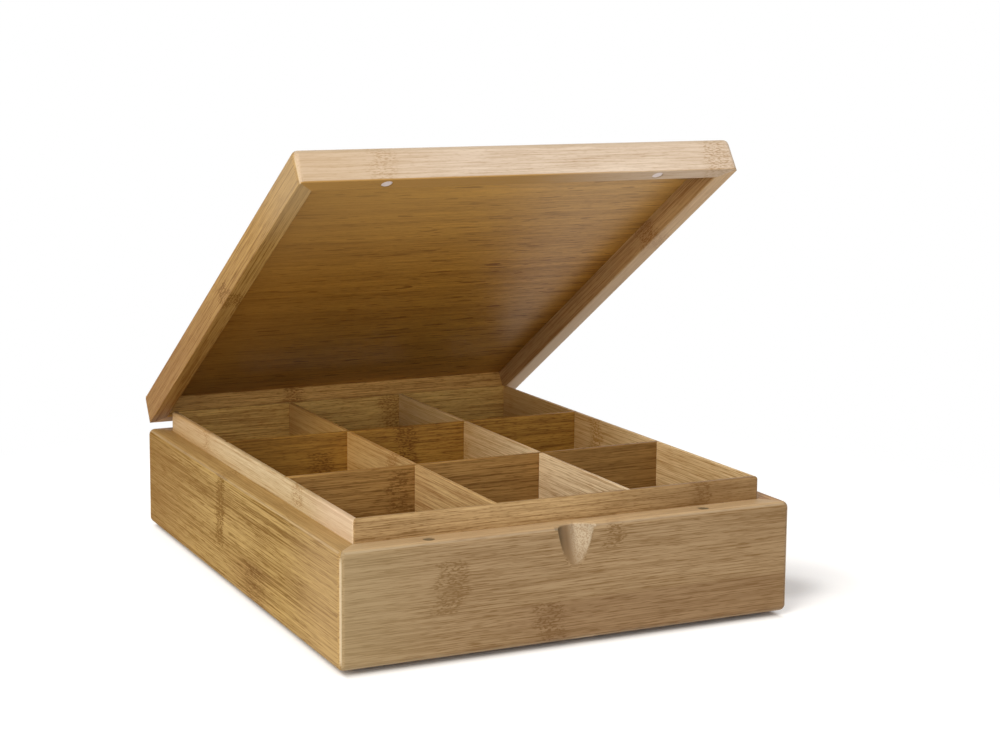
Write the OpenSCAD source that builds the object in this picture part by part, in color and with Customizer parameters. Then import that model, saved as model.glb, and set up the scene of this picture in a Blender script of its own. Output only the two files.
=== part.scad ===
// Tea bag organizer: a bamboo box with nine compartments and a hinged lid.
// Millimetres. Origin at the middle of the underside of the bottom panel; the feet reach below it.
// +X is the box's right-hand side, +Y its hinged back, +Z up. The lid is drawn part open.

/* [Box] */
// Width of the box outside, left to right
box_w = 246; // [216:1:300]
// Depth of the box outside, front to back
box_d = 305; // [270:1:380]
// Height of the four outer walls
wall_h = 57; // [46:1:90]
// Thickness of the outer walls
wall_t = 11.5; // [9.5:0.5:14]
// Thickness of the bottom panel, let into the foot of the walls
floor_t = 4; // [3:0.5:6]
// How far the bottom panel reaches under the walls
floor_lap = 5; // [2:0.5:6]
// Radius of the walls' eased top and bottom edges
edge_r = 2.4; // [1:0.1:3]
// Radius of the eased upright corners
corner_r = 3; // [1:0.1:4]

/* [Liner] */
// Thickness of the inner liner boards
liner_t = 3; // [2.5:0.5:6]
// Height of the lip, the part of the liner that stands above the walls
lip_h = 11.5; // [8:0.5:14]
// Radius of the eased top edge of the liner
lip_r = 0.7; // [0.3:0.1:1.2]

/* [Dividers] */
// Thickness of the divider boards
divider_t = 2.5; // [2:0.5:5]
// Radius of the eased top edges of the dividers
divider_r = 0.5; // [0.3:0.1:0.9]
// Depth of the grooves in the liner that hold the divider ends
groove_d = 1.5; // [1:0.1:2]
// Slack of a divider in its grooves and half laps, on each side
divider_fit = 0.1; // [0.05:0.05:0.3]

/* [Lid] */
// Thickness of the lid panel
lid_panel_t = 6.1; // [5:0.1:9]
// Room between the lip and the lid panel when the lid is closed
lid_headroom = 1.2; // [0.8:0.1:3]
// Width of the ledge in the lid frame that the panel is glued on
lid_lap = 4; // [2:0.5:6]
// Gap between the lid frame and the lip, all round
lid_slack = 0.8; // [0.5:0.1:1.2]
// Gap between the closed lid and the walls
lid_gap = 0.4; // [0.3:0.1:0.8]
// How far the lid frame stays inside the box's front and sides
lid_reveal = 1.3; // [0:0.1:2]
// Radius of the lid's rounded top edges and of its lower back edge
lid_edge_r = 3; // [1:0.1:4]
// Radius of the eased lower edges of the lid frame
lid_foot_r = 0.8; // [0.3:0.1:1.5]
// Angle at which the lid is drawn open
lid_open = 32.5; // [0:0.5:90]

/* [Finger scoop] */
// Width of the finger scoop at the top of the front wall
scoop_w = 21; // [16:0.5:30]
// Depth of the scoop into the wall at its top
scoop_d = 6; // [4.5:0.1:8]
// Height of the scoop down the wall
scoop_h = 21.5; // [14:0.5:32]

/* [Magnets] */
// Diameter of the magnet discs
magnet_dia = 6; // [4:0.5:6.5]
// Thickness of the magnet discs
magnet_t = 2.5; // [1.5:0.5:4]
// How far the discs lie below the wood
magnet_sink = 0.4; // [0.2:0.1:1]
// Distance from the box's side to a magnet's centre
magnet_inset = 47.7; // [24:0.1:80]

/* [Hinges] */
// Length of each hinge along the back
hinge_len = 30; // [24:1:45]
// Distance from the box's side to a hinge's middle
hinge_inset = 52; // [34:1:90]
// Height of each hinge leaf from the pin's centre
leaf_h = 14.5; // [13:0.5:15]
// Thickness of the hinge leaves
leaf_t = 1.2; // [1:0.1:1.6]
// How far the pin lies below the joint between the lid and the walls
pin_drop = 3; // [1:0.5:5]
// Outer radius of the hinge knuckles
knuckle_r = 3.2; // [2.6:0.1:4]
// Diameter of the hinge pin
pin_dia = 2.6; // [2:0.1:3]
// Running clearance round the pin in the lid's knuckle
pin_fit = 0.06; // [0.02:0.01:0.1]
// Gap between neighbouring knuckles
knuckle_gap = 0.35; // [0.3:0.05:0.6]
// Gap between the knuckles and the wood behind them
knuckle_clear = 0.5; // [0.35:0.05:1]
// Angle that the stop lugs let the lid open to
stop_angle = 96; // [90:1:110]

/* [Screws] */
// Diameter of the hinge screws' shanks
screw_dia = 2.2; // [1.8:0.1:2.6]
// Diameter of the hinge screws' heads
screw_head_dia = 4.2; // [3.4:0.1:5]
// Length of the hinge screws
screw_len = 8; // [6:0.5:8.5]

/* [Feet] */
// Diameter of the rubber feet
foot_dia = 12; // [8:0.5:16]
// Height of the rubber feet
foot_h = 2.5; // [1.5:0.5:6]
// Distance from the box's outer faces to a foot's centre
foot_inset = 15.5; // [10:0.5:24]

/* [Hidden] */
$fn = 48;
eps = 0.02;
// Clearance between one leaf and the other leaf's knuckles, of the stop lug at its limit,
// and between the lid leaf and the back wall
joint_clear = 0.4;
stop_clear = 0.3;
leaf_relief = 0.3;
// Columns of compartments from left to right, and rows from front to back
columns = 3;
rows = 3;
bamboo = "#C89B62";
bamboo_light = "#D8B583";
bamboo_dark = "#B58549";
steel = "#B9B4A8";
rubber_black = "#2B2A28";

// Heights from the underside of the walls and the bottom panel
z_floor_top = floor_t;
z_ledge = wall_h;
z_lip = z_ledge + lip_h;
z_pin = z_ledge - pin_drop;
y_pin = box_d / 2 + knuckle_clear + knuckle_r;
liner_h = z_lip - z_floor_top;

// The liner is a frame glued inside the walls
liner_w = box_w - 2 * wall_t;
liner_d = box_d - 2 * wall_t;
inner_w = liner_w - 2 * liner_t;
inner_d = liner_d - 2 * liner_t;
cell_w = (inner_w - (columns - 1) * divider_t) / columns;
cell_d = (inner_d - (rows - 1) * divider_t) / rows;
function long_divider_x(i) = -inner_w / 2 + i * cell_w + (i - 0.5) * divider_t;
function cross_divider_y(i) = -inner_d / 2 + i * cell_d + (i - 0.5) * divider_t;

// The lid frame, measured closed and from the pin
lid_w = box_w - 2 * lid_reveal;
lid_front = -box_d / 2 + lid_reveal - y_pin;
lid_back = box_d / 2 - y_pin;
lid_d = lid_back - lid_front;
lid_side_t = wall_t - lid_slack - lid_reveal;
lid_back_t = wall_t - lid_slack;
lid_base = pin_drop + lid_gap;
lid_hollow = lip_h + lid_headroom - lid_gap;
lid_h = lid_hollow + lid_panel_t;
lid_hole_w = lid_w - 2 * lid_side_t;
lid_hole_front = lid_front + lid_side_t;
lid_hole_back = lid_back - lid_back_t;
lid_hole_d = lid_hole_back - lid_hole_front;

// Hinges
leaf_screw_z = leaf_h - screw_head_dia / 2 - 2;
leaf_screw_dx = hinge_len / 2 - screw_head_dia / 2 - 2.2;
knuckle_len = (hinge_len - 2 * knuckle_gap) / 3;
lug_r = knuckle_r + 2.2;
lug_t = 1.6;
lug_root = knuckle_r - 0.6;
leaf_face = knuckle_r + knuckle_clear - leaf_t;
lug_touch = acos(-leaf_face / lug_r);
lug_angle = stop_angle - lug_touch + asin(lug_t / 2 / lug_r) + asin(stop_clear / lug_r);

// ---- Shared shapes ----

// A square of side r at a corner, less its quarter circle: what easing an edge takes away
module edge_waste(r) {
    difference() {
        translate([-eps, -eps]) square([r + eps, r + eps]);
        translate([r, r]) circle(r);
    }
}

// Board section: x is the depth in from the outer face, y the height
module board_section(t, h, top_r, foot_r) {
    difference() {
        square([t, h]);
        translate([0, h]) mirror([0, 1]) edge_waste(top_r);
        if (foot_r > 0) edge_waste(foot_r);
    }
}

// Section of a standing board with both of its top edges eased
module standing_section(t, h, outer_r, inner_r) {
    difference() {
        board_section(t, h, outer_r, 0);
        translate([t, h]) mirror([1, 0]) mirror([0, 1]) edge_waste(inner_r);
    }
}

// Lays a section along the front edge, running from left to right
module run_of_board(length) {
    translate([-length / 2, 0, 0]) rotate([90, 0, 90]) linear_extrude(length) children();
}

// Everything between two 45 degree cuts that meet the corners of a frame's front
module mitre(length, t, h) {
    linear_extrude(h) polygon([
        [-length / 2, 0], [length / 2, 0],
        [length / 2 - t, t], [-length / 2 + t, t]
    ]);
}

// Upright block with rounded corners, which eases the frame's upright edges
module corner_block(w, d, h, r) {
    linear_extrude(h) difference() {
        translate([-w / 2, -d / 2]) square([w, d]);
        for (sx = [-1, 1], sy = [-1, 1])
            scale_corner(sx, sy, w, d) edge_waste(r);
    }
}

// Carries a shape drawn at the origin to one corner of a rectangle
module scale_corner(sx, sy, w, d) {
    translate([sx * w / 2, sy * d / 2])
        mirror([sx > 0 ? 1 : 0, 0]) mirror([0, sy > 0 ? 1 : 0])
            children();
}

// Turns a front board into the one on the named side of a frame of size w by d
module frame_side(side, w, d) {
    turn = side == "front" ? 0 : side == "right" ? 90 : side == "back" ? 180 : -90;
    reach = side == "front" || side == "back" ? d / 2 : w / 2;
    rotate([0, 0, turn]) translate([0, -reach, 0]) children();
}

function side_length(side, w, d) = side == "front" || side == "back" ? w : d;

// ---- Walls ----

// One mitred wall with the rabbet for the bottom panel cut along its foot
module wall(side) {
    length = side_length(side, box_w, box_d);
    intersection() {
        frame_side(side, box_w, box_d) intersection() {
            run_of_board(length) difference() {
                board_section(wall_t, wall_h, edge_r, edge_r);
                translate([wall_t - floor_lap, -eps]) square([floor_lap + eps, floor_t + eps]);
            }
            mitre(length, wall_t, wall_h);
        }
        corner_block(box_w, box_d, wall_h, corner_r);
    }
}

// Cylinder leaning into the wall, so that the scoop runs out to a rounded lower end
module scoop() {
    tilt = atan2(scoop_d, scoop_h);
    cut = scoop_d * cos(tilt);
    r = (scoop_w * scoop_w / 4 + cut * cut) / (2 * cut);
    translate([0, -box_d / 2 - r / cos(tilt), z_ledge - scoop_h]) rotate([-tilt, 0, 0])
        translate([0, 0, -r]) cylinder(h = scoop_h + 3 * r, r = r, $fn = 96);
}

function magnet_x(sx) = sx * (box_w / 2 - magnet_inset);
// The magnets sit in the middle of the lid's front rail and in the ledge under it
magnet_y = -box_d / 2 + lid_reveal + lid_side_t / 2;

module front_wall() {
    color(bamboo) difference() {
        wall("front");
        scoop();
        for (sx = [-1, 1])
            translate([magnet_x(sx), magnet_y, z_ledge - magnet_t - magnet_sink])
                cylinder(h = magnet_t + magnet_sink + eps, d = magnet_dia);
    }
}

function hinge_x(sx) = sx * (box_w / 2 - hinge_inset);

// The four screw places of one leaf row, each at x from the middle of the box
module at_screws() {
    for (sx = [-1, 1], k = [-1, 1])
        translate([hinge_x(sx) + k * leaf_screw_dx, 0, 0]) children();
}

module back_wall() {
    color(bamboo_dark) difference() {
        wall("back");
        at_screws() translate([0, box_d / 2 + eps, z_pin - leaf_screw_z]) rotate([90, 0, 0])
            cylinder(h = screw_len - leaf_t + eps, d = screw_dia);
    }
}

module left_wall() { color(bamboo_dark) wall("left"); }
module right_wall() { color(bamboo_dark) wall("right"); }

// Flush with the foot of the walls, under the liner and the dividers
module bottom_panel() {
    color(bamboo)
        translate([0, 0, floor_t / 2])
            cube([liner_w + 2 * floor_lap, liner_d + 2 * floor_lap, floor_t], center = true);
}

// ---- Liner ----

// One mitred liner board; cuts lists the middles of its divider grooves along it
module liner(side, cuts) {
    length = side_length(side, liner_w, liner_d);
    slot = divider_t + 2 * divider_fit;
    translate([0, 0, z_floor_top]) frame_side(side, liner_w, liner_d) difference() {
        intersection() {
            run_of_board(length) standing_section(liner_t, liner_h, lip_r, lip_r / 2);
            mitre(length, liner_t, liner_h);
        }
        for (x = cuts)
            translate([x - slot / 2, liner_t - groove_d, -eps])
                cube([slot, groove_d + eps, liner_h + 2 * eps]);
    }
}

column_cuts = [for (i = [1 : columns - 1]) long_divider_x(i)];
row_cuts = [for (i = [1 : rows - 1]) cross_divider_y(i)];

module front_liner() { color(bamboo_light) liner("front", column_cuts); }
module back_liner() { color(bamboo_light) liner("back", column_cuts); }
module left_liner() { color(bamboo_light) liner("left", row_cuts); }
module right_liner() { color(bamboo_light) liner("right", row_cuts); }

// ---- Dividers ----

half_h = liner_h / 2;
lap_slot = divider_t + 2 * divider_fit;

// Runs front to back, with half-lap slots from the top
module long_divider(i) {
    length = inner_d + 2 * groove_d - 2 * divider_fit;
    color(bamboo_light) translate([long_divider_x(i), 0, z_floor_top]) difference() {
        translate([-divider_t / 2, length / 2, 0]) rotate([90, 0, 0]) linear_extrude(length)
            standing_section(divider_t, liner_h, divider_r, divider_r);
        for (y = row_cuts)
            translate([-divider_t, y - lap_slot / 2, half_h])
                cube([2 * divider_t, lap_slot, half_h + eps]);
    }
}

// Runs left to right, with half-lap slots from below
module cross_divider(i) {
    length = inner_w + 2 * groove_d - 2 * divider_fit;
    color(bamboo) translate([0, cross_divider_y(i), z_floor_top]) difference() {
        translate([0, -divider_t / 2, 0]) run_of_board(length)
            standing_section(divider_t, liner_h, divider_r, divider_r);
        for (x = column_cuts)
            translate([x - lap_slot / 2, -divider_t, -eps])
                cube([lap_slot, 2 * divider_t, half_h + eps]);
    }
}

module long_divider_left() { long_divider(1); }
module long_divider_right() { long_divider(2); }
module cross_divider_front() { cross_divider(1); }
module cross_divider_back() { cross_divider(2); }

// ---- Feet ----

// Short rubber disc with a rounded lower rim
module foot(sx, sy) {
    rim = foot_h / 3;
    color(rubber_black)
        translate([sx * (box_w / 2 - foot_inset), sy * (box_d / 2 - foot_inset), -foot_h])
            rotate_extrude() difference() {
                square([foot_dia / 2, foot_h]);
                translate([foot_dia / 2, 0]) mirror([1, 0]) edge_waste(rim);
            }
}

module foot_front_left() { foot(-1, -1); }
module foot_front_right() { foot(1, -1); }
module foot_back_left() { foot(-1, 1); }
module foot_back_right() { foot(1, 1); }

// ---- Magnets ----

module magnet() {
    bevel = 0.25;
    color(steel) rotate_extrude() polygon([
        [0, 0], [magnet_dia / 2, 0], [magnet_dia / 2, magnet_t - bevel],
        [magnet_dia / 2 - bevel, magnet_t], [0, magnet_t]
    ]);
}

module base_magnet(sx) {
    translate([magnet_x(sx), magnet_y, z_ledge - magnet_sink - magnet_t]) magnet();
}

module base_magnet_left() { base_magnet(-1); }
module base_magnet_right() { base_magnet(1); }

// ---- Hinges ----

// Countersunk screw with a straight slot, head flush with the plane z = 0, shank below
module screw() {
    head_h = (screw_head_dia - screw_dia) / 2;
    slot_w = 0.6;
    point = 1.2;
    color(steel) difference() {
        rotate_extrude() polygon([
            [0, 0], [screw_head_dia / 2, 0], [screw_dia / 2, -head_h],
            [screw_dia / 2, point - screw_len], [0, -screw_len]
        ]);
        translate([-screw_head_dia, -slot_w / 2, -slot_w]) cube([2 * screw_head_dia, slot_w, 1]);
    }
}

// What a screw takes out of a leaf that lies below z = 0
module screw_waste() {
    head_h = (screw_head_dia - screw_dia) / 2;
    translate([0, 0, -head_h]) cylinder(h = head_h, d1 = screw_dia, d2 = screw_head_dia);
    translate([0, 0, -leaf_t - eps]) cylinder(h = leaf_t + 2 * eps, d = screw_dia);
    cylinder(h = eps, d = screw_head_dia);
}

// Leaf plate against the wood, drawn upwards from the pin's centre
module leaf_plate() {
    round_r = 2;
    translate([0, -knuckle_r - knuckle_clear + leaf_t, 0]) rotate([90, 0, 0])
        linear_extrude(leaf_t) difference() {
            translate([-hinge_len / 2, 0]) square([hinge_len, leaf_h]);
            for (sx = [-1, 1])
                translate([sx * hinge_len / 2, leaf_h]) mirror([sx > 0 ? 1 : 0, 0])
                    mirror([0, 1]) edge_waste(round_r);
        }
}

// Cylinders along X, from the list of their middles
module knuckles(middles, r) {
    for (x = middles)
        translate([x, 0, 0]) rotate([0, 90, 0])
            cylinder(h = knuckle_len, r = r, center = true);
}

outer_knuckles = [-knuckle_len - knuckle_gap, knuckle_len + knuckle_gap];

// Room that a leaf leaves for the other leaf's knuckles
module knuckle_room(middles) {
    for (x = middles)
        translate([x, 0, 0]) rotate([0, 90, 0])
            cylinder(h = knuckle_len + 2 * knuckle_gap, r = knuckle_r + joint_clear, center = true);
}

// A leaf drawn upwards with the given knuckles and any further part, bored for the pin
module leaf(own, others, bore_r) {
    difference() {
        union() {
            difference() {
                leaf_plate();
                knuckle_room(others);
            }
            knuckles(own, knuckle_r);
            for (x = own)
                translate([x - knuckle_len / 2, -knuckle_r - knuckle_clear, 0])
                    cube([knuckle_len, leaf_t, knuckle_r]);
            children();
        }
        rotate([0, 90, 0]) cylinder(h = 2 * hinge_len, r = bore_r, center = true);
        for (k = [-1, 1])
            translate([k * leaf_screw_dx, -knuckle_r - knuckle_clear + leaf_t, leaf_screw_z])
                rotate([-90, 0, 0]) screw_waste();
    }
}

module hinge_base_leaf(sx) {
    color(steel) translate([hinge_x(sx), y_pin, z_pin]) mirror([0, 0, 1])
        leaf(outer_knuckles, [0], pin_dia / 2);
}

// Headed pin, held by the base leaf
module hinge_pin(sx) {
    head_r = pin_dia / 2 + 0.6;
    head_t = 0.8;
    color(steel) translate([hinge_x(sx), y_pin, z_pin]) rotate([0, 90, 0]) union() {
        cylinder(h = hinge_len, d = pin_dia, center = true);
        for (s = [-1, 1])
            translate([0, 0, s * (hinge_len + head_t) / 2])
                cylinder(h = head_t, r = head_r, center = true);
    }
}

module hinge_base_leaf_left() { hinge_base_leaf(-1); }
module hinge_base_leaf_right() { hinge_base_leaf(1); }
module hinge_pin_left() { hinge_pin(-1); }
module hinge_pin_right() { hinge_pin(1); }

module base_hinge_screws() {
    at_screws() translate([0, box_d / 2 + leaf_t, z_pin - leaf_screw_z])
        rotate([-90, 0, 0]) screw();
}

// ---- Lid ----

// Carries the lid from its closed place, measured from the pin, to the drawn pose
module lid_pose() {
    translate([0, y_pin, z_pin]) rotate([-lid_open, 0, 0]) children();
}

// Lid rail with the ledge for the panel; t is its thickness
module lid_section(t) {
    difference() {
        board_section(t, lid_h, lid_edge_r, lid_foot_r / 2);
        translate([t - lid_lap, lid_hollow]) square([lid_lap + eps, lid_panel_t + eps]);
        translate([t, 0]) mirror([1, 0]) edge_waste(lid_foot_r);
    }
}

// Rounds the lid's lower back edge right across the frame
module lid_back_round() {
    translate([0, lid_back, 0]) mirror([0, 1, 0])
        run_of_board(lid_w + 2 * eps) edge_waste(lid_edge_r);
}

// The mitre lines run from the frame's outer corners to the corners of its opening
module lid_mitre(side) {
    x1 = lid_w / 2;
    x2 = lid_hole_w / 2;
    linear_extrude(lid_h)
        if (side == "front")
            polygon([[-x1, lid_front], [x1, lid_front], [x2, lid_hole_front], [-x2, lid_hole_front]]);
        else if (side == "back")
            polygon([[-x1, lid_back], [x1, lid_back], [x2, lid_hole_back], [-x2, lid_hole_back]]);
        else
            mirror([side == "left" ? 1 : 0, 0])
                polygon([[x1, lid_front], [x1, lid_back], [x2, lid_hole_back], [x2, lid_hole_front]]);
}

module lid_rail(side) {
    across = side == "front" || side == "back";
    t = side == "back" ? lid_back_t : lid_side_t;
    middle = (lid_front + lid_back) / 2;
    translate([0, 0, lid_base]) difference() {
        intersection() {
            translate([0, middle, 0]) frame_side(side, lid_w, lid_d)
                run_of_board(across ? lid_w : lid_d) lid_section(t);
            lid_mitre(side);
            translate([0, middle, 0]) corner_block(lid_w, lid_d, lid_h, corner_r);
        }
        if (side != "front") lid_back_round();
    }
}

lid_magnet_y = magnet_y - y_pin;

module lid_front_rail() {
    color(bamboo_light) lid_pose() difference() {
        lid_rail("front");
        for (sx = [-1, 1])
            translate([magnet_x(sx), lid_magnet_y, lid_base - eps])
                cylinder(h = magnet_t + magnet_sink + eps, d = magnet_dia);
    }
}

module lid_back_rail() {
    color(bamboo) lid_pose() difference() {
        lid_rail("back");
        at_screws() translate([0, lid_back + eps, leaf_screw_z]) rotate([90, 0, 0])
            cylinder(h = screw_len - leaf_t + eps, d = screw_dia);
    }
}

module lid_left_rail() { color(bamboo) lid_pose() lid_rail("left"); }
module lid_right_rail() { color(bamboo) lid_pose() lid_rail("right"); }

// Glued on the ledge of the frame, flush with its top
module lid_panel() {
    color(bamboo_dark) lid_pose()
        translate([-lid_hole_w / 2 - lid_lap, lid_hole_front - lid_lap, lid_base + lid_hollow])
            cube([lid_hole_w + 2 * lid_lap, lid_hole_d + 2 * lid_lap, lid_panel_t]);
}

module lid_magnet(sx) {
    lid_pose() translate([magnet_x(sx), lid_magnet_y, lid_base + magnet_sink + magnet_t])
        mirror([0, 0, 1]) magnet();
}

module lid_magnet_left() { lid_magnet(-1); }
module lid_magnet_right() { lid_magnet(1); }

// The lug that meets the base leaf and stops the lid
module stop_lug() {
    rotate([lug_angle - 90, 0, 0]) translate([-knuckle_len / 2, -lug_t / 2, lug_root])
        cube([knuckle_len, lug_t, lug_r - lug_root]);
}

// What keeps the lid leaf off the back wall, from its knuckle up to the lid frame
module wall_relief() {
    translate([-hinge_len / 2 - eps, -knuckle_r - knuckle_clear - eps, -eps])
        cube([hinge_len + 2 * eps, leaf_relief + eps, lid_base + eps]);
}

module hinge_lid_leaf(sx) {
    color(steel) lid_pose() translate([hinge_x(sx), 0, 0]) difference() {
        leaf([0], outer_knuckles, pin_dia / 2 + pin_fit) stop_lug();
        wall_relief();
    }
}

module hinge_lid_leaf_left() { hinge_lid_leaf(-1); }
module hinge_lid_leaf_right() { hinge_lid_leaf(1); }

module lid_hinge_screws() {
    lid_pose() at_screws() translate([0, lid_back + leaf_t, leaf_screw_z])
        rotate([-90, 0, 0]) screw();
}

front_wall();
back_wall();
left_wall();
right_wall();
bottom_panel();
front_liner();
back_liner();
left_liner();
right_liner();
long_divider_left();
long_divider_right();
cross_divider_front();
cross_divider_back();
foot_front_left();
foot_front_right();
foot_back_left();
foot_back_right();
base_magnet_left();
base_magnet_right();
hinge_base_leaf_left();
hinge_base_leaf_right();
hinge_pin_left();
hinge_pin_right();
base_hinge_screws();
lid_front_rail();
lid_back_rail();
lid_left_rail();
lid_right_rail();
lid_panel();
lid_magnet_left();
lid_magnet_right();
hinge_lid_leaf_left();
hinge_lid_leaf_right();
lid_hinge_screws();
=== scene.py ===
"""Looks of a bamboo tea bag organizer.

Varnished bamboo boards, nickelled hinges and magnets, and rubber feet.
"""

import math

import bmesh
import bpy
from mathutils import Matrix, Vector


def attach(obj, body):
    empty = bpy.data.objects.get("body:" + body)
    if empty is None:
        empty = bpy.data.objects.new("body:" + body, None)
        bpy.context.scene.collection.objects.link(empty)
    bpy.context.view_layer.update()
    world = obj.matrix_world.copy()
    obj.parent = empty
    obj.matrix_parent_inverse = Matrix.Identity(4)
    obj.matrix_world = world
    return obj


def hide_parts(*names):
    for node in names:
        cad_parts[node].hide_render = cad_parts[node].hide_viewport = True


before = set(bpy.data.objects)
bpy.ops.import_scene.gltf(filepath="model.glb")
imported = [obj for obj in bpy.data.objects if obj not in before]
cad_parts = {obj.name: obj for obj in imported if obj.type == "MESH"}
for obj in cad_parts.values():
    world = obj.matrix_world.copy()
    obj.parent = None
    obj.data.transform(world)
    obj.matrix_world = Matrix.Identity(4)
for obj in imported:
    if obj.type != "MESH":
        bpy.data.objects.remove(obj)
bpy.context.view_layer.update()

MM = 0.001
PER_MM = 1000.0

# Sizes of the box that the patterns and the blocks refer to, in millimetres
BOX_W, BOX_D, WALL_H = 246.0, 305.0, 57.0
LIP_W, LIP_D, LIP_TOP = 223.0, 282.0, 68.5
FOOT_H = 2.5
PIN_Y, PIN_Z = 156.2, 54.0
LID_OPEN = 32.5
# The lid's outer faces, measured closed and from the pin
LID_HALF_W, LID_FRONT, LID_BACK = 121.7, -307.4, -3.7
LID_FOOT, LID_TOP = 3.4, 21.8

# ---- Camera ----

CAMERA_AT = (-440.59, -937.41, 289.04)
CAMERA_TURN = 23.29
CAMERA_DIP = 7.80
FOCAL_PIXELS = 1912.8
CENTRE_X, CENTRE_Y = 380.0, 300.0
FRAME_W, FRAME_H = 1000.0, 750.0
SENSOR_W = 36.0
CLIP_NEAR, CLIP_FAR = 0.01, 20


def add_camera():
    """Camera at the measured place, turned about the upright and then dipped below the horizon."""
    data = bpy.data.cameras.new("camera")
    data.sensor_width = SENSOR_W
    data.lens = FOCAL_PIXELS / FRAME_W * SENSOR_W
    data.shift_x = (FRAME_W / 2 - CENTRE_X) / FRAME_W
    data.shift_y = (CENTRE_Y - FRAME_H / 2) / FRAME_W
    data.clip_start, data.clip_end = CLIP_NEAR, CLIP_FAR
    camera = bpy.data.objects.new("camera", data)
    camera.location = [v * MM for v in CAMERA_AT]
    camera.rotation_euler = (math.radians(90 - CAMERA_DIP), 0, math.radians(-CAMERA_TURN))
    bpy.context.collection.objects.link(camera)
    bpy.context.scene.camera = camera


# ---- Node helpers ----


def linear(code):
    """sRGB hex to a linear RGBA colour."""
    parts = [int(code[i : i + 2], 16) / 255 for i in (1, 3, 5)]
    return [p / 12.92 if p <= 0.04045 else ((p + 0.055) / 1.055) ** 2.4 for p in parts] + [1.0]


def add(tree, kind, sockets=None, **settings):
    """Adds a node. Settings go on the node; sockets maps an input to a value or to an output."""
    made = tree.nodes.new(kind)
    for key, value in settings.items():
        setattr(made, key, value)
    for key, value in (sockets or {}).items():
        if isinstance(value, bpy.types.NodeSocket):
            tree.links.new(value, made.inputs[key])
        else:
            made.inputs[key].default_value = value
    return made


def math_of(tree, operation, *values, clamp=False):
    """One step of arithmetic on numbers or outputs."""
    sockets = dict(enumerate(values))
    return add(tree, "ShaderNodeMath", sockets, operation=operation, use_clamp=clamp).outputs[0]


def smooth(tree, value, low, high, to_low=0.0, to_high=1.0):
    """Smooth step from to_low, where value is low, to to_high, where it is high."""
    sockets = {"Value": value, "From Min": low, "From Max": high, "To Min": to_low, "To Max": to_high}
    return add(tree, "ShaderNodeMapRange", sockets, interpolation_type="SMOOTHSTEP").outputs[0]


def mix(tree, factor, a, b, blend="MIX"):
    """Colour a where factor is 0 and colour b where it is 1."""
    made = add(tree, "ShaderNodeMix", {0: factor, 6: a, 7: b}, data_type="RGBA", blend_type=blend)
    return made.outputs[2]


def object_place(tree):
    """Object coordinates of the point, in metres."""
    return add(tree, "ShaderNodeTexCoord").outputs["Object"]


def even_noise(tree, place, per_mm, detail):
    """Noise with the same cell size in every direction: per_mm cells to the millimetre."""
    sockets = {"Vector": place, "Scale": per_mm * PER_MM, "Detail": detail}
    return add(tree, "ShaderNodeTexNoise", sockets).outputs[0]


def new_material(name):
    """Material with an empty node tree, and the tree."""
    material = bpy.data.materials.new(name)
    material.use_nodes = True
    tree = material.node_tree
    tree.nodes.clear()
    return material, tree


def finish_material(tree, shader):
    """Ends the tree: the shader becomes the surface."""
    add(tree, "ShaderNodeOutputMaterial", {"Surface": shader.outputs[0]})


# ---- Bamboo: places on a board ----

AXES = "xyz"
# How softly a culm node ends at the sides of its strip: inside and outside the edge, in millimetres
NODE_SIDE_IN, NODE_SIDE_OUT = 1.4, 0.6
# Along the middle of an edge rounded at 3.4 mm the two face distances add up to 1.99 mm
EDGE_LINE_FULL, EDGE_LINE_END = 1.95, 2.09
# An edge's painted highlight has this share only up to the first distance from a level face, in
# millimetres, and is full from the second, so that level edges show less than upright ones
LEVEL_FROM, LEVEL_TO, LEVEL_SHARE = 3.0, 6.0, 0.35


def board_coordinates(tree, grain, across, on_lid):
    """Millimetres along the grain, across the board and through it, from Object coordinates.

    A lid board's place is first turned back about the pin to where it lies when the lid is closed.
    """
    settings = {"Vector": object_place(tree), "Scale": (MM, MM, MM)}
    if on_lid:
        settings["Location"] = (0, PIN_Y * MM, PIN_Z * MM)
        settings["Rotation"] = (math.radians(-LID_OPEN), 0, 0)
    board = add(tree, "ShaderNodeMapping", settings, vector_type="TEXTURE").outputs[0]
    parts = add(tree, "ShaderNodeSeparateXYZ", {0: board})
    through = next(a for a in AXES if a not in (grain, across))
    return [parts.outputs[AXES.index(a)] for a in (grain, across, through)]


def height_on_board(tree, on_lid):
    """Height in millimetres, measured on the lid from the pin with the lid closed."""
    return board_coordinates(tree, "x", "y", on_lid)[2]


def stretched_noise(tree, g, c, t, along, over, seed, detail, rough):
    """Noise whose cells are 1/along millimetres long with the grain and 1/over wide."""
    sockets = {
        0: math_of(tree, "MULTIPLY_ADD", g, along, seed),
        1: math_of(tree, "MULTIPLY", c, over),
        2: math_of(tree, "MULTIPLY", t, over),
    }
    vector = add(tree, "ShaderNodeCombineXYZ", sockets).outputs[0]
    settings = {"Vector": vector, "Scale": 1.0, "Detail": detail, "Roughness": rough}
    return add(tree, "ShaderNodeTexNoise", settings).outputs[0]


def zones(tree, g, c, wobble, places, soft):
    """Mask of soft-edged zones.

    Each zone has its middle along the grain, its low and high edge across it, half its length
    and its depth. Where zones overlap, the deepest holds.
    """
    total = None
    for middle, low, high, half, depth in places:
        moved = math_of(tree, "SUBTRACT", math_of(tree, "ADD", g, wobble), middle)
        along = math_of(tree, "ABSOLUTE", moved)
        over = math_of(tree, "ABSOLUTE", math_of(tree, "SUBTRACT", c, (low + high) / 2))
        reach = (high - low) / 2
        inside = math_of(
            tree,
            "MULTIPLY",
            smooth(tree, along, half - soft, half + soft, depth, 0.0),
            smooth(tree, over, reach - NODE_SIDE_IN, reach + NODE_SIDE_OUT, 1.0, 0.0),
        )
        total = inside if total is None else math_of(tree, "MAXIMUM", total, inside)
    return total


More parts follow.
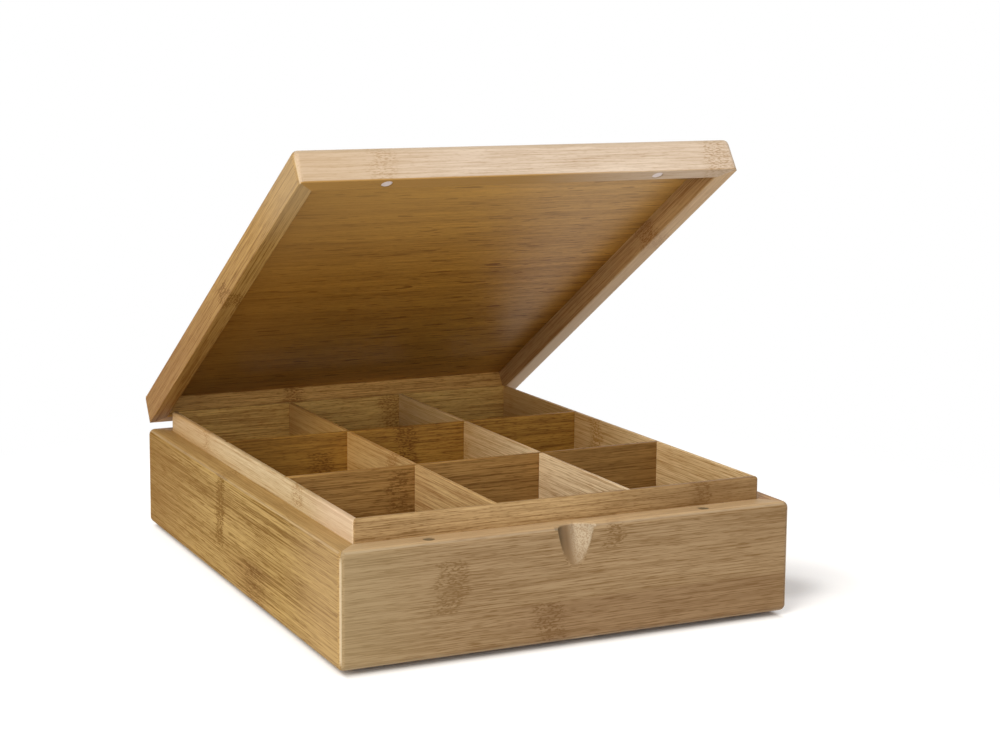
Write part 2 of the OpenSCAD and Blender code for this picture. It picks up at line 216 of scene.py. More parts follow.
def outer_edges(tree, half_w, front, back, low, high, on_lid):
    """Painted highlight: 1 along the middle of a block's rounded edges, 0 on its faces, less on level
    edges.

    The two smallest of the distances to the block's faces are the sum of all three less the
    largest, and only on an edge are both of them small.
    """
    g, c, t = board_coordinates(tree, "x", "y", on_lid)
    dx = math_of(tree, "SUBTRACT", half_w, math_of(tree, "ABSOLUTE", g))
    to_front, to_back = math_of(tree, "SUBTRACT", c, front), math_of(tree, "SUBTRACT", back, c)
    to_top, to_foot = math_of(tree, "SUBTRACT", high, t), math_of(tree, "SUBTRACT", t, low)
    dy = math_of(tree, "MINIMUM", to_front, to_back)
    dz = math_of(tree, "MINIMUM", to_top, to_foot)
    largest = math_of(tree, "MAXIMUM", dx, math_of(tree, "MAXIMUM", dy, dz))
    total = math_of(tree, "ADD", dx, math_of(tree, "ADD", dy, dz))
    two_smallest = math_of(tree, "SUBTRACT", total, largest)
    line = smooth(tree, two_smallest, EDGE_LINE_FULL, EDGE_LINE_END, 1.0, 0.0)
    return math_of(tree, "MULTIPLY", line, smooth(tree, dz, LEVEL_FROM, LEVEL_TO, LEVEL_SHARE, 1.0))


# ---- Bamboo: the finger scoop ----

# Middle and half width of the scoop's mask, the depth that it starts behind, and its top
SCOOP = (0.0, 11.0, -BOX_D / 2 + 0.2, WALL_H)
# How softly the mask ends at the scoop's sides, behind the face and at the top, in millimetres
SIDE_SOFT, FACE_SOFT, TOP_SOFT = 0.6, 0.8, 0.3
SCOOP_DOTS_PER_MM = 1.5


def cut_mask(tree, middle, half, depth, top):
    """1 where a scoop is cut into the front face: within half of middle, behind depth and below top."""
    g, c, t = board_coordinates(tree, "x", "z", False)
    from_middle = math_of(tree, "ABSOLUTE", math_of(tree, "SUBTRACT", g, middle))
    near = smooth(tree, from_middle, half, half + SIDE_SOFT, 1.0, 0.0)
    behind = smooth(tree, t, depth, depth + FACE_SOFT)
    below = smooth(tree, c, top - TOP_SOFT, top, 1.0, 0.0)
    return math_of(tree, "MULTIPLY", near, math_of(tree, "MULTIPLY", behind, below))


def cut_colour(tree):
    """Fibres that a cutter has opened across the grain.

    The left of the cut is darkened with painted shade, its right paled with painted light and finely
    speckled, and it is browner towards the foot.
    The dots are 0.7 mm wide, coarser than cut fibre ends, so that they show.
    """
    dots = even_noise(tree, object_place(tree), SCOOP_DOTS_PER_MM, 2.0)
    # Places are millimetres from the scoop's middle, and for the browner foot they are heights
    g, c = board_coordinates(tree, "x", "z", False)[:2]
    # Painted shade on the scoop's left and painted light on its right
    colour = mix(tree, smooth(tree, g, -8.5, -4.5), linear("#5A462B"), linear("#7A6042"))
    colour = mix(tree, smooth(tree, g, -3.5, 3.5), colour, linear("#B8A488"))
    colour = mix(tree, smooth(tree, c, 49.0, 37.0, 0.0, 0.40), colour, linear("#8F7048"))
    most = smooth(tree, g, -5.0, 1.0, 0.10, 0.55)
    speckled = math_of(tree, "MULTIPLY", smooth(tree, dots, 0.46, 0.60), most)
    return mix(tree, speckled, colour, linear("#8A6B46"))


# ---- Bamboo: the wood ----

# Layers of noise in the grain: cells per millimetre with the grain and across it, step of the
# seed, detail and roughness. A fibre bundle is about 0.5 mm wide and a vein of them 2.5 mm.
BANDS = (0.005, 0.11, 1.3, 2.0, 0.5)
VEINS = (0.012, 0.40, 5.9, 3.0, 0.6)
STREAKS = (0.026, 1.25, 7.1, 2.5, 0.55)
FIBRES = (0.065, 2.1, 11.9, 2.0, 0.55)
TICKS = (0.24, 1.9, 17.3, 1.5, 0.5)
SPECKLE = (0.50, 1.5, 23.7, 1.0, 0.5)
WOBBLE = (0.02, 0.10, 31.1, 3.0, 0.6)
MARKS = (0.055, 0.50, 41.3, 1.0, 0.5)
# Each strip's grain lies this many millimetres further along than its neighbour's, so that it
# starts anew at every glue line
STRIP_STEP = 137.0
# Half width of the dark line of glue between strips, where it is full and where it ends
GLUE_FULL, GLUE_END = 0.10, 0.7
# How far the edges of culm nodes and of warm zones wander along the grain, and how soft they are
NODE_WANDER, NODE_SOFT = 22.0, 3.2
WARM_WANDER, WARM_SOFT, WARM_SHARE = 60.0, 22.0, 0.30
# Colour of the warm zones, and the colour and share of the painted highlight on rounded edges
WARM_COLOUR, EDGE_HIGHLIGHT_COLOUR, EDGE_HIGHLIGHT_SHARE = "#A8763C", "#EAD7B8", 0.45
# Least depth of a culm node's mottle, and how much its spots add
MOTTLE_LEAST, MOTTLE_SPOTS = 0.10, 0.80
# How much a glue line darkens, and the fixed last number of the key that draws a strip's tone
GLUE_SHARE, TONE_KEY = 0.08, 3.7
# A ledge's painted light and shade sets in and is full this far below its top, in millimetres
LEDGE_FROM, LEDGE_FULL = 1.0, 0.2
# The colour of the lid's underside is full up to the first height above its foot and ends at the
# second, in millimetres
UNDER_FULL, UNDER_END = 0.3, 0.9
VARNISH_IOR = 1.5
# Dark fibres are this much rougher than pale ones, and all are this much rougher than the sheen
SHADE_ROUGHER, GRAIN_ROUGHER = 0.10, 0.06
# Strength of the relief that the varnish leaves, its depth in metres, and the share of each layer
RELIEF, RELIEF_DEPTH = 0.30, 0.00012
FIBRE_RISE, STREAK_RISE, GLUE_RISE = 0.5, 0.8, -0.4


def bamboo(name, light, dark, grain, across, strip=24.5, shift=0.0, nodes=(), on_lid=False,
           streak=1.0, fine=1.0, band=0.14, run=1.0, edges=None, tints=(), warm=(), cut=None,
           ledge=None, under=None, dashes=0.0, seed=0.0, sheen=0.40, gloss=0.22, strip_tone=0.12):
    """Varnished bamboo board, pressed from strips of culm wall.

    Strips lie side by side, each of its own tone. Fibre bundles draw fine dark streaks along the
    grain, run times as long as usual, and each culm node is a mottled, darker patch across its
    strip. The satin varnish leaves the fibres just felt and gives a soft, broad shine.

    The shade is the sum of all layers, each by its share, and mixes light with dark. Warm zones
    multiply that colour, and the cut with its painted shade and light, the tints, the ledge's painted
    light and shade, the underside and the painted edge highlight are mixed over it in turn. The
    relief is the sum of the fibres and streaks less the glue lines.

    strip and shift place the strips, in millimetres. nodes and warm are lists of zones. streak,
    fine, band, strip_tone and dashes weigh the layers. A tint has its axis, its colour, where it
    starts, where it is full, and its share there. ledge is the height of a level top face, its
    colour and its share, a painted tone for how the light falls on that top. under is the colour of
    the lid's lower face, two places along the grain and the share at each. edges are the faces of
    the block whose rounded edges get a pale painted highlight.
    """
    material, tree = new_material(name)
    g, c, t = board_coordinates(tree, grain, across, on_lid)
    # Number of the strip, its tone, and the glue line at its edge
    place = math_of(tree, "DIVIDE", math_of(tree, "ADD", c, shift), strip)
    number = math_of(tree, "FLOOR", place)
    key = add(tree, "ShaderNodeCombineXYZ", {0: number, 1: seed, 2: TONE_KEY}).outputs[0]
    tone = add(tree, "ShaderNodeTexWhiteNoise", {"Vector": key}, noise_dimensions="3D").outputs[0]
    from_edge = math_of(tree, "PINGPONG", place, 0.5)
    glue_line = smooth(tree, from_edge, GLUE_FULL / strip, GLUE_END / strip, 1.0, 0.0)
    g_strip = math_of(tree, "MULTIPLY_ADD", number, STRIP_STEP, g)

    def layer(values, stretch=1.0):
        """One layer of noise, its cells stretch times as long as listed."""
        along, over, step, detail, rough = values
        along = along / stretch
        return stretched_noise(tree, g_strip, c, t, along, over, seed + step, detail, rough)

    bands, veins = layer(BANDS), layer(VEINS)
    streaks, fibres, ticks = layer(STREAKS, run), layer(FIBRES, run), layer(TICKS, run)
    # How dark each point is, from 0 to 1: each layer's noise, where it sets in and where it is
    # full, and its share
    shade = 0.0
    for noise, low, high, share in (
        (bands, 0.30, 0.70, band),
        (veins, 0.34, 0.68, 0.18 * streak),
        (streaks, 0.44, 0.66, 0.40 * streak),
        (fibres, 0.40, 0.66, 0.36 * fine),
        (ticks, 0.52, 0.68, 0.34 * fine),
    ):
        shade = math_of(tree, "MULTIPLY_ADD", smooth(tree, noise, low, high), share, shade)
    shade = math_of(tree, "MULTIPLY_ADD", tone, strip_tone, shade)
    shade = math_of(tree, "MULTIPLY_ADD", glue_line, GLUE_SHARE, shade)
    if nodes:
        wander = math_of(tree, "MULTIPLY_ADD", layer(WOBBLE), NODE_WANDER, -NODE_WANDER / 2)
        mask = zones(tree, g, c, wander, nodes, NODE_SOFT)
        spots = smooth(tree, layer(SPECKLE), 0.50, 0.60)
        mottle = math_of(tree, "MULTIPLY_ADD", spots, MOTTLE_SPOTS, MOTTLE_LEAST)
        shade = math_of(tree, "MULTIPLY_ADD", mask, mottle, shade)
    if dashes:
        marks = smooth(tree, layer(MARKS), 0.645, 0.69)
        shade = math_of(tree, "MULTIPLY_ADD", marks, dashes, shade)
    shade = math_of(tree, "ADD", shade, 0.0, clamp=True)
    colour = mix(tree, shade, linear(light), linear(dark))
    if warm:
        wander = math_of(tree, "MULTIPLY_ADD", bands, WARM_WANDER, -WARM_WANDER / 2)
        share = math_of(tree, "MULTIPLY", zones(tree, g, c, wander, warm, WARM_SOFT), WARM_SHARE)
        colour = mix(tree, share, colour, linear(WARM_COLOUR), "MULTIPLY")
    if cut is not None:
        colour = mix(tree, cut_mask(tree, *cut), colour, cut_colour(tree))
    for axis, code, start, end, most in tints:
        share = smooth(tree, g if axis == "along" else c, start, end, 0.0, most)
        colour = mix(tree, share, colour, linear(code))
    # Painted light and shade on the level top face: a tone for how the light falls on it
    if ledge is not None:
        top, code, most = ledge
        up = height_on_board(tree, on_lid)
        share = smooth(tree, up, top - LEDGE_FROM, top - LEDGE_FULL, 0.0, most)
        colour = mix(tree, share, colour, linear(code))
    if under is not None:
        code, start, end, most, least = under
        up = height_on_board(tree, on_lid)
        foot = smooth(tree, up, LID_FOOT + UNDER_FULL, LID_FOOT + UNDER_END, 1.0, 0.0)
        share = math_of(tree, "MULTIPLY", foot, smooth(tree, g, start, end, most, least))
        colour = mix(tree, share, colour, linear(code))
    # Painted highlight: a pale line along the block's rounded edges
    if edges is not None:
        edge_highlight = math_of(tree, "MULTIPLY", outer_edges(tree, *edges, on_lid), EDGE_HIGHLIGHT_SHARE)
        colour = mix(tree, edge_highlight, colour, linear(EDGE_HIGHLIGHT_COLOUR))
    relief = math_of(tree, "MULTIPLY", streaks, STREAK_RISE)
    relief = math_of(tree, "MULTIPLY_ADD", fibres, FIBRE_RISE, relief)
    relief = math_of(tree, "MULTIPLY_ADD", glue_line, GLUE_RISE, relief)
    settings = {"Strength": RELIEF, "Distance": RELIEF_DEPTH, "Height": relief}
    bump = add(tree, "ShaderNodeBump", settings)
    sockets = {
        "Base Color": colour,
        "Roughness": math_of(tree, "MULTIPLY_ADD", shade, SHADE_ROUGHER, sheen + GRAIN_ROUGHER),
        "IOR": VARNISH_IOR,
        "Normal": bump.outputs[0],
        "Specular IOR Level": gloss,
    }
    finish_material(tree, add(tree, "ShaderNodeBsdfPrincipled", sockets))
    return material


# ---- Metal and rubber ----

# Scratches are 2.5 mm long and 0.4 mm wide. Real ones are under 0.1 mm wide: these are drawn
# coarser so that they show. Their depth is in metres.
SCRATCHES_PER_MM = (0.4, 2.6, 2.6)
SCRATCH_ROUGHER, SCRATCH_RELIEF, SCRATCH_DEPTH = 0.22, 0.15, 0.00003
# Dull clouds are about 4 mm across
PLATE_CLOUDS_PER_MM = 0.26
PLATE_DUST_COLOUR = "#8C867A"
# The rubber's grit is about 0.6 mm wide, coarser than a mould's fine grain so that it shows, and
# its dust lies in clouds about 4 mm across
RUBBER_GRIT_PER_MM, RUBBER_CLOUDS_PER_MM = 1.8, 0.24
RUBBER_RELIEF, RUBBER_GRIT_DEPTH = 0.25, 0.00005
RUBBER_ROUGHNESS, RUBBER_IOR = 0.72, 1.52
RUBBER_COLOUR, RUBBER_DUST_COLOUR, RUBBER_DUST = "#1E1D1C", "#4A4845", 0.35


def plated_steel(name, colour, roughness, dust, metal=1.0):
    """Nickel-plated steel, pressed or turned and then tumbled: bright, with faint fine scratches.

    dust is the most grey that the dull clouds on it hold. Scratches make the roughness uneven.
    """
    material, tree = new_material(name)
    place = object_place(tree)
    settings = {"Vector": place, "Scale": [n * PER_MM for n in SCRATCHES_PER_MM]}
    mapped = add(tree, "ShaderNodeMapping", settings).outputs[0]
    settings = {"Vector": mapped, "Scale": 1.0, "Detail": 3.0}
    scratch = add(tree, "ShaderNodeTexNoise", settings).outputs[0]
    cloud = even_noise(tree, place, PLATE_CLOUDS_PER_MM, 2.0)
    dull = smooth(tree, cloud, 0.35, 0.75, 0.0, dust)
    tint = mix(tree, dull, linear(colour), linear(PLATE_DUST_COLOUR))
    rough = math_of(tree, "MULTIPLY_ADD", scratch, SCRATCH_ROUGHER, roughness)
    relief = {"Strength": SCRATCH_RELIEF, "Distance": SCRATCH_DEPTH, "Height": scratch}
    bump = add(tree, "ShaderNodeBump", relief)
    sockets = {"Base Color": tint, "Metallic": metal, "Roughness": rough, "Normal": bump.outputs[0]}
    finish_material(tree, add(tree, "ShaderNodeBsdfPrincipled", sockets))
    return material


def moulded_rubber(name):
    """Black moulded rubber with a fine matt grain and a little grey dust."""
    material, tree = new_material(name)
    place = object_place(tree)
    grit = even_noise(tree, place, RUBBER_GRIT_PER_MM, 2.0)
    cloud = even_noise(tree, place, RUBBER_CLOUDS_PER_MM, 3.0)
    dusty = smooth(tree, cloud, 0.45, 0.75, 0.0, RUBBER_DUST)
    colour = mix(tree, dusty, linear(RUBBER_COLOUR), linear(RUBBER_DUST_COLOUR))
    relief = {"Strength": RUBBER_RELIEF, "Distance": RUBBER_GRIT_DEPTH, "Height": grit}
    bump = add(tree, "ShaderNodeBump", relief)
    sockets = {
        "Base Color": colour,
        "Roughness": RUBBER_ROUGHNESS,
        "IOR": RUBBER_IOR,
        "Normal": bump.outputs[0],
    }
    finish_material(tree, add(tree, "ShaderNodeBsdfPrincipled", sockets))
    return material


# ---- Boards with ball-shaped outer corners ----

CORNER_R, LIP_CORNER_R = 3.4, 1.6
# The blocks of the lip and the lid reach this far below them, so that lower edges stay square
BLOCK_DROP = 20.0
# Half width, front, back, low and top of each block, and the radius of its edges
BASE_BLOCK = (BOX_W / 2, -BOX_D / 2, BOX_D / 2, 0.0, WALL_H, CORNER_R)
LIP_BLOCK = (LIP_W / 2, -LIP_D / 2, LIP_D / 2, -BLOCK_DROP, LIP_TOP, LIP_CORNER_R)
LID_BLOCK = (LID_HALF_W, LID_FRONT, LID_BACK, LID_FOOT - BLOCK_DROP, LID_TOP, CORNER_R)
# The block is this much wider, deeper and taller, so that it never meets the boards' flat faces
BLOCK_SPARE = 0.06
# Steps in each quarter circle, and the angle from which an edge stays sharp
ROUND_STEPS, SHARP_FROM = 7, 32
eased = {}


def sanding_block(half_w, front, back, low, top, radius, on_lid):
    """Block whose edges are quarter circles of the radius and whose corners are eighths of a ball.

    It is a box from front to back, low to top and half_w to each side, a hair larger all round.
    """
    shape = bmesh.new()
    bmesh.ops.create_cube(shape, size=1.0)
    size = [(v + BLOCK_SPARE) * MM for v in (2 * half_w, back - front, top - low)]
    middle = Matrix.Translation((0, (front + back) / 2 * MM, (low + top) / 2 * MM))
    shape.transform(middle @ Matrix.Diagonal(size + [1.0]))
    bevel = {"offset": radius * MM, "segments": ROUND_STEPS, "profile": 0.5, "affect": "EDGES"}
    bmesh.ops.bevel(shape, geom=shape.edges[:], **bevel)
    if on_lid:
        pin = Matrix.Translation((0, PIN_Y * MM, PIN_Z * MM))
        shape.transform(pin @ Matrix.Rotation(math.radians(-LID_OPEN), 4, "X"))
    mesh = bpy.data.meshes.new("sanding block")
    shape.to_mesh(mesh)
    shape.free()
    block = bpy.data.objects.new("sanding block", mesh)
    bpy.context.collection.objects.link(block)
    return block


def round_corners(names, block, body):
    """New boards: each is the CAD board's shape, kept only where it lies within the sanding block."""
    cutter = sanding_block(*block, body == "lid")
    for name in names:
        piece = bpy.data.objects.new(name + "_eased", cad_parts[name].data.copy())
        bpy.context.collection.objects.link(piece)
        keep = piece.modifiers.new("keep", "BOOLEAN")
        keep.operation, keep.solver, keep.object = "INTERSECT", "EXACT", cutter
        ready = piece.evaluated_get(bpy.context.evaluated_depsgraph_get())
        mesh = bpy.data.meshes.new_from_object(ready)
        piece.modifiers.clear()
        piece.data = mesh
        mesh.shade_smooth()
        mesh.set_sharp_from_angle(angle=math.radians(SHARP_FROM))
        level = piece.modifiers.new("flat faces stay flat", "WEIGHTED_NORMAL")
        level.weight, level.keep_sharp = 100, True
        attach(piece, body)
        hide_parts(name)
        eased[name] = piece
    bpy.data.objects.remove(cutter)


# ---- Giving the boards their materials ----


def dress(names, material):
    """Gives the material to each piece: the eased board where there is one, else the CAD node."""
    for name in names:
        piece = eased.get(name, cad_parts[name])
        piece.data.materials.clear()
        piece.data.materials.append(material)


def dress_board(name, look, light, dark, grain, across, **more):
    """Gives one board a bamboo of its own."""
    dress([name], bamboo(look, light, dark, grain, across, **more))


WALL_EDGES = (BOX_W / 2, -BOX_D / 2, BOX_D / 2, 0.0, WALL_H)
# Only the lid's upper and upright edges get the painted highlight, so its low side is left far below
LID_EDGES = (LID_HALF_W, LID_FRONT, LID_BACK, -40.0, LID_TOP)


def dress_walls():
    """Outer boards, with the grain level all round."""
    dress_board(
        "front_wall", "front wall bamboo, satin varnish", "#A58A66", "#785A34", "x", "z",
        shift=3.0, seed=2.0, run=2.2, streak=0.72, fine=1.35,
        nodes=[
            (-68.0, 21.5, 47.0, 7.0, 1.2),
            (-14.0, -2.0, 21.0, 7.0, 1.0),
            (22.5, 44.0, 58.0, 4.4, 1.3),
        ],
        warm=[(50.0, -3.0, 21.0, 85.0, 0.8)],
        tints=[("along", "#AA966E", -50.0, -135.0, 0.45), ("along", "#7E5E38", 50.0, 125.0, 0.16)],
        cut=SCOOP, ledge=(WALL_H, "#DDBA8C", 0.42), edges=WALL_EDGES,
    )
    dress_board(
        "left_wall", "left wall bamboo, satin varnish", "#C0A062", "#775520", "y", "z",
        strip=40.0, shift=-18.0, seed=5.0, run=2.8, streak=0.85, fine=1.25, band=0.22,
        nodes=[(19.0, 18.5, 57.5, 5.5, 1.7), (-38.0, -2.0, 21.0, 13.0, 0.4)],
        warm=[(-38.0, -2.0, 22.0, 24.0, 1.0)],
        tints=[("along", "#7A5216", 0.0, 150.0, 0.55), ("along", "#C0A078", -70.0, -140.0, 0.30)],
        ledge=(WALL_H, "#BC9A66", 0.42), edges=WALL_EDGES, sheen=0.50, gloss=0.06,
    )
    dress_board(
        "right_wall", "right wall bamboo, satin varnish", "#C69C62", "#84592E", "y", "z",
        strip=31.0, shift=5.0, seed=9.0, edges=WALL_EDGES,
        nodes=[(70.0, -3.0, 26.0, 8.0, 1.0), (-58.0, 26.0, 58.0, 7.0, 1.0)],
    )
    dress_board(
        "back_wall", "back wall bamboo, satin varnish", "#C4A071", "#83603A", "x", "z",
        strip=27.0, shift=3.0, seed=13.0, edges=WALL_EDGES,
        nodes=[(48.0, 24.0, 51.0, 8.0, 1.0), (-74.0, -3.0, 24.0, 7.0, 1.0)],
    )
    dress_board(
        "bottom_panel", "bottom panel bamboo, thin varnish", "#B98D55", "#7C5529", "x", "y",
        strip=23.0, seed=17.0, sheen=0.42,
        nodes=[(-40.0, 46.0, 69.0, 6.0, 1.0), (62.0, -46.0, -23.0, 6.0, 1.0)],
    )


def dress_liner():
    """Inner boards whose top edge is the lip."""
    dress_board(
        "front_liner", "front liner bamboo, satin varnish", "#BE9D6D", "#7E5D33", "x", "z",
        shift=17.0, seed=21.0, tints=[("along", "#64421A", -10.0, 90.0, 0.52)],
        nodes=[(77.5, 56.0, 71.0, 4.5, 1.4), (-58.0, 20.0, 44.0, 6.0, 1.0)],
    )
    dress_board(
        "left_liner", "left liner bamboo, satin varnish", "#D4BE94", "#A68456", "y", "z",
        strip=25.0, shift=8.0, seed=25.0, run=2.4, streak=0.8,
        nodes=[(-68.0, 58.0, 72.0, 7.0, 1.0), (76.0, 58.0, 72.0, 4.0, 1.0)],
        tints=[("along", "#E6C8AC", -70.0, -125.0, 0.45), ("along", "#A8742C", 0.0, 120.0, 0.38)],
    )
    dress_board(
        "right_liner", "right liner bamboo, satin varnish", "#E9CD9D", "#A57D45", "y", "z",
        strip=24.0, shift=2.0, seed=29.0, run=2.4, tints=[("along", "#B8842E", -60.0, 90.0, 0.50)],
        nodes=[(20.0, 44.0, 70.0, 6.0, 1.0), (-80.0, 20.0, 46.0, 7.0, 1.0)],
    )
    dress_board(
        "back_liner", "back liner bamboo, satin varnish", "#E2B969", "#93662C", "x", "z",
        strip=25.0, shift=4.0, seed=33.0, nodes=[(30.0, 46.0, 71.0, 6.0, 1.0)],
    )


def dress_dividers():
    """Thin half-lapped boards."""
    dress_board(
        "long_divider_left", "left long divider bamboo, satin varnish",
        "#DFBF87", "#9C7241", "y", "z",
        strip=30.0, shift=11.0, seed=37.0, run=2.4, nodes=[(-20.0, 49.0, 70.0, 6.0, 1.0)],
        tints=[("along", "#C08A34", -80.0, 80.0, 0.50)],
    )
    dress_board(
        "long_divider_right", "right long divider bamboo, satin varnish",
        "#F4DEB6", "#AB875C", "y", "z",
        strip=30.0, shift=2.0, seed=41.0, run=2.4, nodes=[(44.0, 28.0, 58.0, 6.0, 1.0)],
        tints=[("along", "#C89A48", -80.0, 90.0, 0.55)],
    )
    # Their deep golden colours are partly painted shade from inside the compartments, and their darker
    # ends painted shade
    dress_board(
        "cross_divider_back", "back cross divider bamboo, satin varnish",
        "#BD8D3D", "#714813", "x", "z",
        strip=24.0, shift=14.0, seed=45.0, tints=[("along", "#5A3A0A", -20.0, -100.0, 0.52)],
        nodes=[(-2.0, 46.0, 70.0, 6.0, 1.0), (-56.0, 34.0, 58.0, 7.0, 1.0)],
    )
    dress_board(
        "cross_divider_front", "front cross divider bamboo, satin varnish",
        "#B88E52", "#6E4A1C", "x", "z",
        strip=24.0, shift=5.0, seed=49.0, run=1.6, tints=[("along", "#5C3E16", -40.0, 100.0, 0.42)],
        nodes=[(-46.0, 43.0, 67.0, 7.0, 0.55), (70.0, 20.0, 43.0, 6.0, 0.7)],
    )


def dress_lid():
    """Mitred lid frame and its panel, patterned from the lid's own closed place."""
    rail = {"strip": 26.0, "shift": 3.0, "on_lid": True}
    # The front rail's pale colours are partly painted sheen, the whitish shine of its face tilted up to
    # the light
    dress_board(
        "lid_front_rail", "lid front rail bamboo, satin varnish and painted sheen",
        "#DCC9B4", "#A88B6B", "x", "z", **rail,
        seed=53.0, streak=0.65, fine=0.6, strip_tone=0.05,
        nodes=[(-78.0, 0.0, 22.0, 7.0, 0.5), (110.0, 0.0, 22.0, 8.0, 0.6)],
        tints=[("along", "#BC9C72", -20.0, -120.0, 0.52)],
        ledge=(19.5, "#B7A183", 0.40), under=("#AA8040", -10.0, 90.0, 0.95, 0.30),
    )
    dress_board(
        "lid_left_rail", "lid left rail bamboo, satin varnish",
        "#BE9654", "#7A531D", "y", "z", **rail,
        seed=57.0, run=2.4, gloss=0.10, edges=LID_EDGES, nodes=[(-174.0, 0.0, 14.0, 7.0, 1.2)],
        tints=[("along", "#7C4E16", -230.0, -60.0, 0.50), ("along", "#C8B08A", -225.0, -300.0, 0.35)],
    )
    # The right rail's colours are partly painted light, raised so that its shaded inner face looks lit
    dress_board(
        "lid_right_rail", "lid right rail bamboo, satin varnish",
        "#CFAB76", "#9A6C3C", "y", "z", **rail,
        seed=61.0, run=2.4, edges=LID_EDGES, nodes=[(-223.0, 0.0, 22.0, 9.0, 1.2)],
        tints=[("along", "#85551C", -230.0, -60.0, 0.35)], under=("#D8BE9C", -240.0, -60.0, 0.35, 0.90),
    )
    dress_board(
        "lid_back_rail", "lid back rail bamboo, satin varnish",
        "#E0B166", "#91632B", "x", "z", **rail,
        seed=65.0, edges=LID_EDGES, nodes=[(-30.0, 0.0, 22.0, 6.0, 1.0)],
    )
    dress_board(
        "lid_panel", "lid panel bamboo, satin varnish", "#D29B42", "#815015", "x", "y",
        strip=21.0, shift=6.0, on_lid=True, seed=69.0, streak=0.70, fine=0.75, band=0.26, dashes=0.70,
        sheen=0.28, gloss=0.26,
        # Painted shade towards the left and the hinge, and a pale painted sheen towards the front edge
        tints=[
            ("along", "#744A14", 20.0, -120.0, 0.50),
            ("across", "#DCB878", -150.0, -290.0, 0.32),
            ("across", "#4E2E08", -170.0, -40.0, 0.22),
        ],
    )


def dress_fittings():
    """Hinges, screws and magnets in nickel plate, and rubber feet."""
    hinge = plated_steel("pressed steel hinge leaf, nickel plated", "#C9C4B8", 0.24, 0.30)
    wire = plated_steel("bright steel hinge pin", "#D2CFC7", 0.18, 0.15)
    screws = plated_steel("countersunk steel screw, nickel plated", "#BDB7AA", 0.26, 0.35)
    # The ledge magnets' dark brown is painted shade, the shadow down in their sunk holes
    magnets = plated_steel("magnet disc, nickel plate with painted shade", "#8A7A5C", 0.50, 0.40)
    bright = plated_steel("magnet disc, frosted nickel plate", "#ECE0DC", 0.62, 0.05, metal=0.35)
    rubber = moulded_rubber("moulded rubber foot")
    dress(["hinge_base_leaf_left", "hinge_base_leaf_right"], hinge)
    dress(["hinge_lid_leaf_left", "hinge_lid_leaf_right"], hinge)
    dress(["hinge_pin_left", "hinge_pin_right"], wire)
    dress(["base_hinge_screws", "lid_hinge_screws"], screws)
    dress(["base_magnet_left", "base_magnet_right"], magnets)
    dress(["lid_magnet_left", "lid_magnet_right"], bright)
    dress(["foot_front_left", "foot_front_right", "foot_back_left", "foot_back_right"], rubber)


# ---- Floor and light ----

# Half the floor's side, and where it turns to white, in metres from the middle of the box
FLOOR_REACH = 6.0
WHITE_FROM, WHITE_AT = 0.26, 0.42
# Where the paper starts to clear at each side of the box, and over how far, in millimetres:
# axis, side, start and width
CLEAR_SIDES = (
    (0, -1, BOX_W / 2 - 5.0, 3.5),
    (0, 1, BOX_W / 2 - 5.0, 3.5),
    (1, -1, BOX_D / 2 - 2.5, 8.0),
    (1, 1, BOX_D / 2 - 2.5, 3.5),
)
# Middle and half widths of the soft shadow by the right front corner, in millimetres
SHADOW_AT, SHADOW_SIZE = (148.0, -108.0), (30.0, 24.0)
# The lift grows in two steps outward from the shadow's middle. Each has the distances where it
# starts and ends, in half widths of the shadow, and the lift at both.
SHADOW_STEPS = ((0.3, 1.2, 0.04, 0.23), (1.3, 2.6, 0.0, 0.12))
WHITE = (1, 1, 1, 1)
WORLD_LIGHT = 0.45
# Far lamps: name, direction that they shine from, strength, spread in degrees and colour
LAMPS = (
    ("key light", (-0.65, -0.41, 0.64), 1.2, 24.0, "#FFFAF2"),
    ("left fill", (-0.88, -0.38, 0.28), 1.0, 40.0, "#FFFBF4"),
    ("front fill", (-0.10, -0.93, 0.34), 0.5, 40.0, "#FFFDFA"),
    ("overhead fill", (-0.10, -0.25, 0.96), 0.6, 60.0, "#FFFFFF"),
)


def clear_of_box(tree, place):
    """How much the paper is lifted towards white: none under the box, little in the soft shadow.

    The distance beyond each side is counted in that side's own clearing width, and the largest
    holds. The soft shadow is an ellipse, and the lift grows with the distance from its middle.
    """
    parts = add(tree, "ShaderNodeSeparateXYZ", {0: place}).outputs
    beyond = -1.0
    for axis, side, start, width in CLEAR_SIDES:
        steps = math_of(tree, "MULTIPLY_ADD", parts[axis], side / (width * MM), -start / width)
        beyond = math_of(tree, "MAXIMUM", beyond, steps)
    middle = [v * MM for v in SHADOW_AT] + [0.0]
    size = [v * MM for v in SHADOW_SIZE] + [1.0]
    settings = {"Vector": place, "Location": middle, "Scale": size}
    shadow = add(tree, "ShaderNodeMapping", settings, vector_type="TEXTURE").outputs[0]
    from_shadow = add(tree, "ShaderNodeVectorMath", {0: shadow}, operation="LENGTH").outputs["Value"]
    near, far = (smooth(tree, from_shadow, *step) for step in SHADOW_STEPS)
    lift = math_of(tree, "ADD", near, far)
    return math_of(tree, "MULTIPLY", smooth(tree, beyond, 0.0, 1.0), lift)


def seen_directly(tree):
    """1 for what the camera sees, itself or in a mirror or a glass, and 0 for light on the object."""
    path = add(tree, "ShaderNodeLightPath").outputs
    seen = math_of(tree, "MAXIMUM", path["Is Camera Ray"], path["Is Glossy Ray"])
    return math_of(tree, "MAXIMUM", seen, path["Is Transmission Ray"])


